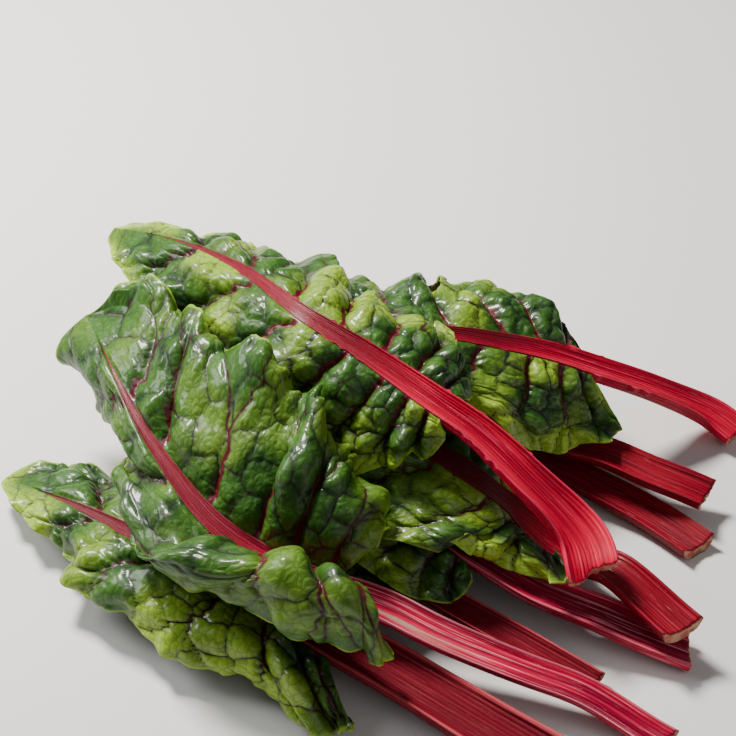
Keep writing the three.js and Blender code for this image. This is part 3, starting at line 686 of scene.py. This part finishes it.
def blade_piece(leaf):
    halves = [half_blade(leaf, side, *leaf["grid"]) for side in SIDES]
    deselect_all()
    for half in halves:
        half.select_set(True)
    bpy.context.view_layer.objects.active = halves[0]
    bpy.ops.object.join()
    piece = bpy.context.object
    piece.name = piece.data.name = "chard_blade_" + leaf["name"][-1]
    edit_all(piece, lambda: bpy.ops.mesh.remove_doubles(threshold=SAME_POINT),
             lambda: bpy.ops.mesh.dissolve_degenerate(threshold=0.000005))
    shell = piece.modifiers.new("thickness", "SOLIDIFY")
    shell.thickness = BLADE_THICKNESS
    shell.offset = 0
    shell.material_offset = 1
    bpy.ops.object.modifier_apply(modifier=shell.name)
    place = vertex_places(piece)
    place[:, 2] = np.maximum(place[:, 2], 0.0)
    set_places(piece, place)
    shade_smooth(piece)
    return piece


blades = {}
for leaf in LEAVES:
    leaf["soft_tip"] = True
    blade = blades[leaf["name"]] = blade_piece(leaf)
    print(blade.name, len(blade.data.polygons), "faces")

# %% [markdown]
# ## A stalk
# A chard stalk is a broad gutter with fine ribs along it, thick where it was cut and as thin as a straw
# at the tip of the leaf. It starts as an open tube that is cut across many times, and each ring is then
# moved to its place on the midrib line and given the gutter's outline. The first and last rings close
# onto the middle of the flesh, which makes the rounded cut ends.

# %% Outline of the gutter
ROUND_SECTION = np.roll(STALK_SECTION, 3, axis=0)


def section_place(w):
    """Point of the smooth outline at share w, which starts under the stalk and rises on the near side."""
    n = len(ROUND_SECTION)
    i = np.floor(w * n).astype(int)
    return through_points(*(ROUND_SECTION[(i + k) % n] for k in (-1, 0, 1, 2)), (w * n - i)[..., None])


def flesh_middle(a):
    """Height halfway between the upper and the lower skin of the outline."""
    w = np.linspace(0, 1, 401)
    outline = section_place(w)
    under = outline[(w < 0.3) | (w > 0.7)]
    over = outline[(w > 0.3) & (w < 0.7)]
    under = under[np.argsort(under[:, 0])]
    over = over[np.argsort(over[:, 0])]
    return (np.interp(a, under[:, 0], under[:, 1]) + np.interp(a, over[:, 0], over[:, 1])) / 2


def on_top(w):
    """1 on the upper skin of the outline and 0 below."""
    return smooth(0.27, 0.33, w) * (1 - smooth(0.67, 0.73, w))


def rib_height(leaf, w, a, x):
    """Ribs along the stalk, in millimetres."""
    top = on_top(w)
    count = round(leaf["stalk"][0] * 0.9)
    drift = 0.8 * (soft_noise(x / 80, a * 2, leaf["seed"]) - 0.5)
    depth = 0.5 + soft_noise(x / 40, a * 3, leaf["seed"] + 7)
    broad = np.cos(np.pi * a * count + drift) * depth
    fine = np.cos(np.pi * a * count * 2.3 + 2 * drift + 1)
    below = np.cos(2 * np.pi * w * 30)
    rolled = smooth(0.78, 0.95, np.abs(a)) * top
    height = top * (0.17 * broad + 0.07 * fine) + (1 - top) * 0.2 * below + 0.3 * rolled
    return height * leaf["stalk"][0] / 12


def cut_start(leaf, a):
    """Where the cut end lies for each part of the width."""
    ragged = soft_noise(a * 7, a * 0, leaf["seed"] + 4) - 0.5
    if leaf["name"] == "leaf_8":
        return 4 - 9 * smooth(-0.6, 0.85, a) + 4 * smooth(0.85, 1, a) + 3 * ragged
    return a * leaf["slant"] + 1.2 * ragged


# %% Stalks
def stalk_piece(leaf, rings, around):
    """A tube of rings, cut along its length in two goes and then laid along the midrib line."""
    deselect_all()
    bpy.ops.mesh.primitive_cylinder_add(vertices=around, radius=1, depth=1, end_fill_type="NOTHING")
    piece = bpy.context.object
    piece.name = piece.data.name = "chard_stalk_" + leaf["name"][-1]
    bpy.context.tool_settings.mesh_select_mode = (False, True, False)
    edit_all(piece, lambda: bpy.ops.mesh.select_all(action="DESELECT"))
    for cuts, shortest in ((rings // 2 - 1, 0.5), (1, 0.001)):
        z = vertex_places(piece)[:, 2]
        for edge in piece.data.edges:
            edge.select = bool(abs(z[edge.vertices[0]] - z[edge.vertices[1]]) > shortest)
        bpy.ops.object.mode_set(mode="EDIT")
        bpy.ops.mesh.subdivide(number_cuts=cuts)
        bpy.ops.object.mode_set(mode="OBJECT")
    place = vertex_places(piece)
    w = (np.arctan2(place[:, 1], place[:, 0]) / (2 * np.pi)) % 1
    ring = np.round((place[:, 2] + 0.5) * rings)
    t = np.clip((ring - 2) / (rings - 4), 0, 1)
    from_end = np.minimum(ring, rings - ring)
    full = np.select([from_end == 0, from_end == 1], [0.0, 0.8], 1.0)
    a, b = section_place(w).T
    a = np.where(from_end == 0, np.round(a * 10) / 10, a)
    middle = flesh_middle(a)
    b = middle + (b - middle) * full
    tangent = section_place((w + 0.002) % 1) - section_place((w - 0.002) % 1)
    normal = np.stack([tangent[:, 1], -tangent[:, 0]], -1)
    normal /= np.linalg.norm(normal, axis=1, keepdims=True)
    start = cut_start(leaf, a)
    rib_end = leaf["start"] + 0.97 * leaf["blade_length"]
    x = start + (rib_end - start) * t + np.sign(0.5 - t) * 0.9 * np.sqrt(1 - full)
    rib = half_rib(leaf, x) * (1 + 0.05 * (soft_noise(x / 38, x * 0, leaf["seed"]) - 0.5))
    ridge = rib_height(leaf, w, a, x) * np.minimum(rib / 7, 1) * (full == 1)
    tooth = np.maximum(soft_noise(x / 3.5, 4 * np.sign(a), leaf["seed"]) - 0.74, 0)
    tooth = tooth * smooth(0.88, 1, np.abs(a)) * smooth(0.5, 0.7, x / leaf["start"]) * leaf["teeth"]
    across = a * (rib + 9 * tooth) + normal[:, 0] * ridge
    rise = b * rib + normal[:, 1] * ridge
    p, along, out, up = line_frame(leaf, x)
    p = p + out * across[:, None] + up * rise[:, None]
    p[:, 2] = np.maximum(p[:, 2], 0)
    set_places(piece, (p + HEAP_SHIFT) / 1000)
    set_values(piece, "straight", np.stack([x, across, rise + leaf["seed"] * 200.0], -1) / 1000)
    set_values(piece, "across", a)
    thin_from, thin_to = leaf["start"] * 0.95, leaf["start"] + 0.3 * leaf["blade_length"]
    set_values(piece, "thin_part", smooth(thin_from, thin_to, x))
    worn = smooth(0.5, 0.75, x / leaf["start"]) * (1 - smooth(0.9, 1.1, x / leaf["start"]))
    set_values(piece, "worn", leaf["worn"] * worn * smooth(0.05, 0.35, a) * (1 - smooth(0.6, 0.85, a)))
    set_values(piece, "from_cut", np.where(full == 1, x - start, 0))
    set_values(piece, "upper", on_top(w))
    edit_all(piece, lambda: bpy.ops.mesh.remove_doubles(threshold=SAME_POINT / 2),
             lambda: bpy.ops.mesh.normals_make_consistent(inside=False))
    shade_smooth(piece)
    return piece


RING_GAP = 2.2
POINTS_AROUND = 120
stalks = {}
for leaf in LEAVES:
    leaf["teeth"] = float(leaf["name"] in ("leaf_7", "leaf_8"))
    leaf["worn"] = float(leaf["name"] == "leaf_9")
    stalk = stalk_piece(leaf, 2 * round(leaf["length"] / (2 * RING_GAP)), POINTS_AROUND)
    stalks[leaf["name"]] = stalk
    print(stalk.name, len(stalk.data.polygons), "faces")

# %% [markdown]
# ## Building materials with nodes
# Leaf and stalk are wet, living tissue: a waxy skin over uneven colour. A few helpers keep the node
# trees short. Effects that several finishes share are node groups with named inputs and outputs.

# %% Node helpers
def feed(tree, sockets, values):
    """Links or sets each named socket."""
    for name, value in values.items():
        if isinstance(value, bpy.types.NodeSocket):
            tree.links.new(value, sockets[name])
        else:
            sockets[name].default_value = value


def add_node(tree, kind, inputs=None, **settings):
    node = tree.nodes.new(kind)
    for name, value in settings.items():
        setattr(node, name, value)
    feed(tree, node.inputs, inputs or {})
    return node


def math_node(tree, operation, *values):
    return add_node(tree, "ShaderNodeMath", dict(enumerate(values)), operation=operation).outputs[0]


def mix_colour(tree, factor, below, above):
    """Lays one colour over another. Inputs 6 and 7 and output 2 of the node are its colours."""
    below, above = ((*c, 1) if isinstance(c, tuple) else c for c in (below, above))
    return add_node(tree, "ShaderNodeMix", {0: factor, 6: below, 7: above}, data_type="RGBA").outputs[2]


def layers(tree, colour, *masked):
    """Lays further colours over the first, each through its own mask."""
    for mask, above in masked:
        colour = mix_colour(tree, mask, colour, above)
    return colour


def fade_map(tree, value, low, high, out_low=0.0, out_high=1.0):
    node = add_node(tree, "ShaderNodeMapRange", {"Value": value, "From Min": low, "From Max": high,
                                                 "To Min": out_low, "To Max": out_high},
                    interpolation_type="SMOOTHSTEP")
    return node.outputs["Result"]


def attribute(tree, name, output="Fac"):
    return add_node(tree, "ShaderNodeAttribute", attribute_name=name).outputs[output]


def new_group(name, inputs, outputs):
    group = bpy.data.node_groups.new(name, "ShaderNodeTree")
    kinds = {"vector": "NodeSocketVector", "number": "NodeSocketFloat"}
    for label, kind, value in inputs:
        socket = group.interface.new_socket(name=label, in_out="INPUT", socket_type=kinds[kind])
        if value is not None:
            socket.default_value = value
    for label, kind in outputs:
        group.interface.new_socket(name=label, in_out="OUTPUT", socket_type=kinds[kind])
    start = group.nodes.new("NodeGroupInput")
    end = group.nodes.new("NodeGroupOutput")
    return group, start.outputs, end.inputs


def use_group(tree, group, inputs):
    return add_node(tree, "ShaderNodeGroup", inputs, node_tree=group).outputs


def vector_node(tree, operation, first, second):
    return add_node(tree, "ShaderNodeVectorMath", {0: first, 1: second}, operation=operation).outputs[0]


def new_material(name):
    material = bpy.data.materials.new(name)
    material.use_nodes = True
    return material, material.node_tree, material.node_tree.nodes["Principled BSDF"].inputs


# %% Shared effects
patches, patch_in, patch_out = new_group(
    "patches",
    [("Place", "vector", None), ("Scale", "number", 30.0), ("Low", "number", 0.4), ("High", "number", 0.6)],
    [("Mask", "number"), ("Plain", "number")])
cloud = add_node(patches, "ShaderNodeTexNoise", {"Vector": patch_in["Place"], "Scale": patch_in["Scale"],
                                                 "Detail": 4.0, "Roughness": 0.6}).outputs["Fac"]
feed(patches, patch_out, {"Plain": cloud,
                          "Mask": fade_map(patches, cloud, patch_in["Low"], patch_in["High"])})

skin, skin_in, skin_out = new_group(
    "leaf skin", [("Place", "vector", None), ("Cell size", "number", 0.004)],
    [("Line", "number"), ("Height", "number")])
wobble = add_node(skin, "ShaderNodeTexNoise", {"Vector": skin_in["Place"], "Scale": 260.0, "Detail": 2.0})
wobble = vector_node(skin, "MULTIPLY", wobble.outputs["Color"], (0.0022, 0.0022, 0.0))
moved = vector_node(skin, "ADD", skin_in["Place"], wobble)
per_metre = math_node(skin, "DIVIDE", 1.0, skin_in["Cell size"])
net = add_node(skin, "ShaderNodeTexVoronoi", {"Vector": moved, "Scale": per_metre},
               feature="DISTANCE_TO_EDGE").outputs["Distance"]
feed(skin, skin_out, {"Line": fade_map(skin, net, 0.02, 0.09, 1.0, 0.0),
                      "Height": fade_map(skin, net, 0.0, 0.4)})

streaks, streak_in, streak_out = new_group(
    "streaks", [("Place", "vector", None), ("Across", "number", 700.0), ("Along", "number", 12.0)],
    [("Mask", "number")])
stretch = add_node(streaks, "ShaderNodeCombineXYZ", {"X": streak_in["Along"], "Y": streak_in["Across"],
                                                     "Z": streak_in["Across"]})
long_place = vector_node(streaks, "MULTIPLY", streak_in["Place"], stretch.outputs[0])
fibre = add_node(streaks, "ShaderNodeTexNoise", {"Vector": long_place, "Scale": 1.0, "Detail": 3.0,
                                                 "Roughness": 0.62})
feed(streaks, streak_out, {"Mask": fibre.outputs["Fac"]})
print("groups:", [g.name for g in (patches, skin, streaks)])

# %% [markdown]
# ## The leaf's skin
# The upper side is deep green and waxy. Painted highlight makes the middle of each cushion between the veins
# lighter, painted shade darkens the furrows along the small veins, and the margin is yellow-green where it is
# young. The side veins are crimson, the small veins thin and dark. The underside is paler and duller, and its
# veins stand out.

# %% Leaf finish
NET_SHADE = (0.004, 0.010, 0.002)


def leaf_material(name, dark, mid, light, yellow, vein, thin_vein, dull, coat):
    material, tree, shader = new_material(name)
    place = attribute(tree, "flat", "Vector")
    side_gap, net_gap, margin = (attribute(tree, gap) for gap in ("side_vein", "net_vein", "margin"))
    broad = use_group(tree, patches, {"Place": place, "Scale": 34.0, "Low": 0.36, "High": 0.66})
    small = use_group(tree, patches, {"Place": place, "Scale": 150.0, "Low": 0.4, "High": 0.68})
    cells_out = use_group(tree, skin, {"Place": place, "Cell size": 0.0045})
    young = math_node(tree, "MULTIPLY", attribute(tree, "pale"),
                      fade_map(tree, small["Plain"], 0.25, 0.6, 0.6, 1.1))
    net_colour = mix_colour(tree, fade_map(tree, broad["Plain"], 0.42, 0.6), NET_SHADE, thin_vein)
    vein_colour = mix_colour(tree, fade_map(tree, margin, 12.0, 60.0), thin_vein, vein)
    colour = layers(
        tree, dark, (broad["Mask"], mid),
        # painted highlight: the middle of each cushion between the small veins is made lighter
        (math_node(tree, "MULTIPLY", fade_map(tree, net_gap, 0.5, 6.0), 0.45), light),
        (math_node(tree, "MULTIPLY", small["Mask"], 0.25), light),
        (young, yellow),
        (math_node(tree, "MULTIPLY", cells_out["Line"], 0.35), dark),
        # painted shade: the furrows within 2 mm of the small veins are made darker
        (fade_map(tree, net_gap, 0.2, 1.9, 0.45, 0.0), dark),
        (fade_map(tree, net_gap, 0.22, 0.7, 0.95, 0.0), net_colour),
        (fade_map(tree, side_gap, 0.0, 1.6, 0.28, 0.0), vein_colour),
        (fade_map(tree, side_gap, -0.2, 0.3, 1.0, 0.0), vein_colour),
        (fade_map(tree, margin, 0.3, 1.4, 0.7, 0.0), yellow))
    grain = add_node(tree, "ShaderNodeTexNoise",
                     {"Vector": place, "Scale": 420.0, "Detail": 4.0, "Roughness": 0.65}).outputs["Fac"]
    height = math_node(tree, "MULTIPLY_ADD", grain, 0.8, cells_out["Height"])
    bump = add_node(tree, "ShaderNodeBump", {"Strength": 0.45, "Distance": 0.0006, "Height": height})
    feed(tree, shader, {"Base Color": colour, "Normal": bump.outputs["Normal"], "Specular IOR Level": 0.2,
                        "Roughness": fade_map(tree, small["Plain"], 0.3, 0.7, dull, dull + 0.16), **coat})
    return material


leaf_top = leaf_material(
    "chard_leaf_upper", (0.005, 0.025, 0.003), (0.018, 0.072, 0.006), (0.058, 0.160, 0.012),
    (0.30, 0.46, 0.030), (0.095, 0.001, 0.008), (0.026, 0.003, 0.004), 0.42,
    {"Coat Weight": 0.3, "Coat Roughness": 0.14})
leaf_under = leaf_material(
    "chard_leaf_under", (0.03, 0.09, 0.02), (0.07, 0.17, 0.035), (0.12, 0.25, 0.055),
    (0.36, 0.46, 0.14), (0.24, 0.010, 0.032), (0.16, 0.030, 0.030), 0.5, {})
print("finishes of the blade:", leaf_top.name, leaf_under.name)

# %% [markdown]
# ## The stalk's skin
# Crimson runs in fibres along the stalk, in streaks from dark to pink. A pink band along the upper side of
# the rims is painted highlight, and the thin pale scratch lines are partly scratches and partly painted
# glint.
# Where the stalk was cut, the flesh is pale. The colour follows the stalk's own straightened place, so the
# fibres turn with it.

# %% Stalk finish
MIDRIB_RED = (0.115, 0.001, 0.009)
# pale pink of the thin scratch lines, which are partly scratches and partly painted glint
SCRATCH_AND_GLINT_PINK = (0.75, 0.42, 0.40)
BARE_BROWN = (0.36, 0.27, 0.21)
CUT_RED, CUT_PALE = (0.50, 0.13, 0.08), (0.60, 0.36, 0.22)


def stalk_material(name, dark, red, pink, tone, fibres=0.75, edge=0.4):
    material, tree, shader = new_material(name)
    place = attribute(tree, "straight", "Vector")
    broad = use_group(tree, streaks, {"Place": place, "Across": 160.0, "Along": 7.0})["Mask"]
    thin = use_group(tree, streaks, {"Place": place, "Across": 900.0, "Along": 16.0})["Mask"]
    # thin pale lines along the stalk: partly scratches, partly painted glint, and also a small bump
    scratch_and_glint = use_group(tree, streaks, {"Place": place, "Across": 1700.0, "Along": 90.0})["Mask"]
    across = math_node(tree, "ABSOLUTE", attribute(tree, "across"))
    # painted highlight: a pink band along the upper side of the rolled rims, as strong as edge
    rim = math_node(tree, "MULTIPLY", fade_map(tree, across, 0.86, 0.97, 0.0, edge), attribute(tree, "upper"))
    bare = math_node(tree, "MULTIPLY", attribute(tree, "worn"), fade_map(tree, thin, 0.4, 0.58))
    flesh = mix_colour(tree, fade_map(tree, broad, 0.4, 0.6), CUT_RED, CUT_PALE)
    colour = layers(
        tree, dark, (fade_map(tree, broad, 0.36, 0.62, 1 - fibres, 1.0), red),
        (fade_map(tree, thin, 0.52, 0.72, 0.0, fibres), pink),
        (fade_map(tree, thin, 0.30, 0.44, fibres, 0.0), dark),
        (rim, pink),
        (fade_map(tree, scratch_and_glint, 0.64, 0.78, 0.0, fibres * 0.7), SCRATCH_AND_GLINT_PINK),
        (fade_map(tree, attribute(tree, "thin_part"), 0.0, 1.0, 0.0, 0.85), MIDRIB_RED),
        (bare, BARE_BROWN),
        (fade_map(tree, attribute(tree, "from_cut"), 0.0, 0.9, 0.85, 0.0), flesh))
    height = math_node(tree, "MULTIPLY_ADD", scratch_and_glint, 0.35, thin)
    bump = add_node(tree, "ShaderNodeBump", {"Strength": 0.8, "Distance": 0.0008, "Height": height})
    feed(tree, shader, {"Base Color": colour, "Normal": bump.outputs["Normal"], "Specular IOR Level": 0.16,
                        "Roughness": fade_map(tree, thin, 0.3, 0.7, tone, tone + 0.18),
                        "Coat Weight": 0.12, "Coat Roughness": 0.13})
    return material


# After the three colours and the roughness come the share of fibres and the strength of the painted rim
# highlight.
STALK_LOOKS = {look: stalk_material("chard_stalk_" + look, *numbers) for look, numbers in {
    "bright": ((0.22, 0.0, 0.012), (0.60, 0.0, 0.034), (0.88, 0.05, 0.13), 0.38),
    "deep": ((0.08, 0.0, 0.006), (0.25, 0.001, 0.013), (0.42, 0.02, 0.045), 0.4),
    "pink": ((0.17, 0.0, 0.018), (0.54, 0.002, 0.045), (0.95, 0.30, 0.38), 0.4, 0.95),
    "calm": ((0.07, 0.0, 0.006), (0.16, 0.0, 0.010), (0.62, 0.08, 0.10), 0.44, 0.35, 1.0),
}.items()}
for leaf in LEAVES:
    blade, stalk = blades[leaf["name"]], stalks[leaf["name"]]
    blade.data.materials.append(leaf_top)
    blade.data.materials.append(leaf_under)
    stalk.data.materials.append(STALK_LOOKS[leaf["look"]])
    for piece, kind in ((blade, "blade"), (stalk, "stalk")):
        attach(piece, "root")
        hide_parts(leaf["name"] + "_" + kind)
print("pieces", len(blades) + len(stalks))

# %% [markdown]
# ## Table and light
# The heap lies on a plain pale table. One soft light hangs behind it on the left, as daylight from a
# window would, and makes the wet bulges shine. A weaker one further to the left lights the edges, and a
# large faint one in front keeps the hollows from going black.

# %% Table and light
deselect_all()
bpy.ops.mesh.primitive_plane_add(size=6, location=(0, 0, -0.0003))
table = bpy.context.object
table.name = "table_top"
table_paint, paint, paint_shader = new_material("table_paint")
speckle = add_node(paint, "ShaderNodeTexNoise", {"Scale": 5.0, "Detail": 6.0}).outputs["Fac"]
feed(paint, paint_shader, {"Base Color": mix_colour(paint, speckle, (0.72, 0.71, 0.69), (0.78, 0.77, 0.75)),
                           "Roughness": 0.7})
table.data.materials.append(table_paint)


def soft_light(name, place, size, power, colour=(1, 1, 1)):
    bpy.ops.object.light_add(type="AREA", location=place)
    lamp = bpy.context.object
    lamp.name = name
    lamp.data.shape = "DISK"
    lamp.data.size = size
    lamp.data.energy = power
    lamp.data.color = colour
    look_at(lamp, place, (0, 0, 0.04))
    return lamp


level_back = np.array([view_back[0], view_back[1], 0]) / math.cos(VIEW_HEIGHT)
up = np.array([0, 0, 1.0])
soft_light("window", -0.5 * view_right - 0.6 * level_back + 1.1 * up, 0.34, 41, (1.0, 0.97, 0.92))
soft_light("room", 0.9 * view_right + 0.9 * level_back + 0.9 * up, 1.2, 3)
soft_light("rim", -1.0 * view_right - 0.3 * level_back + 0.7 * up, 0.5, 9)
world = bpy.data.worlds.new("room")
world.use_nodes = True
feed(world.node_tree, world.node_tree.nodes["Background"].inputs,
     {"Color": (0.86, 0.88, 0.9, 1), "Strength": 0.15})
bpy.context.scene.world = world
print("lights", [lamp.name for lamp in bpy.data.lights])
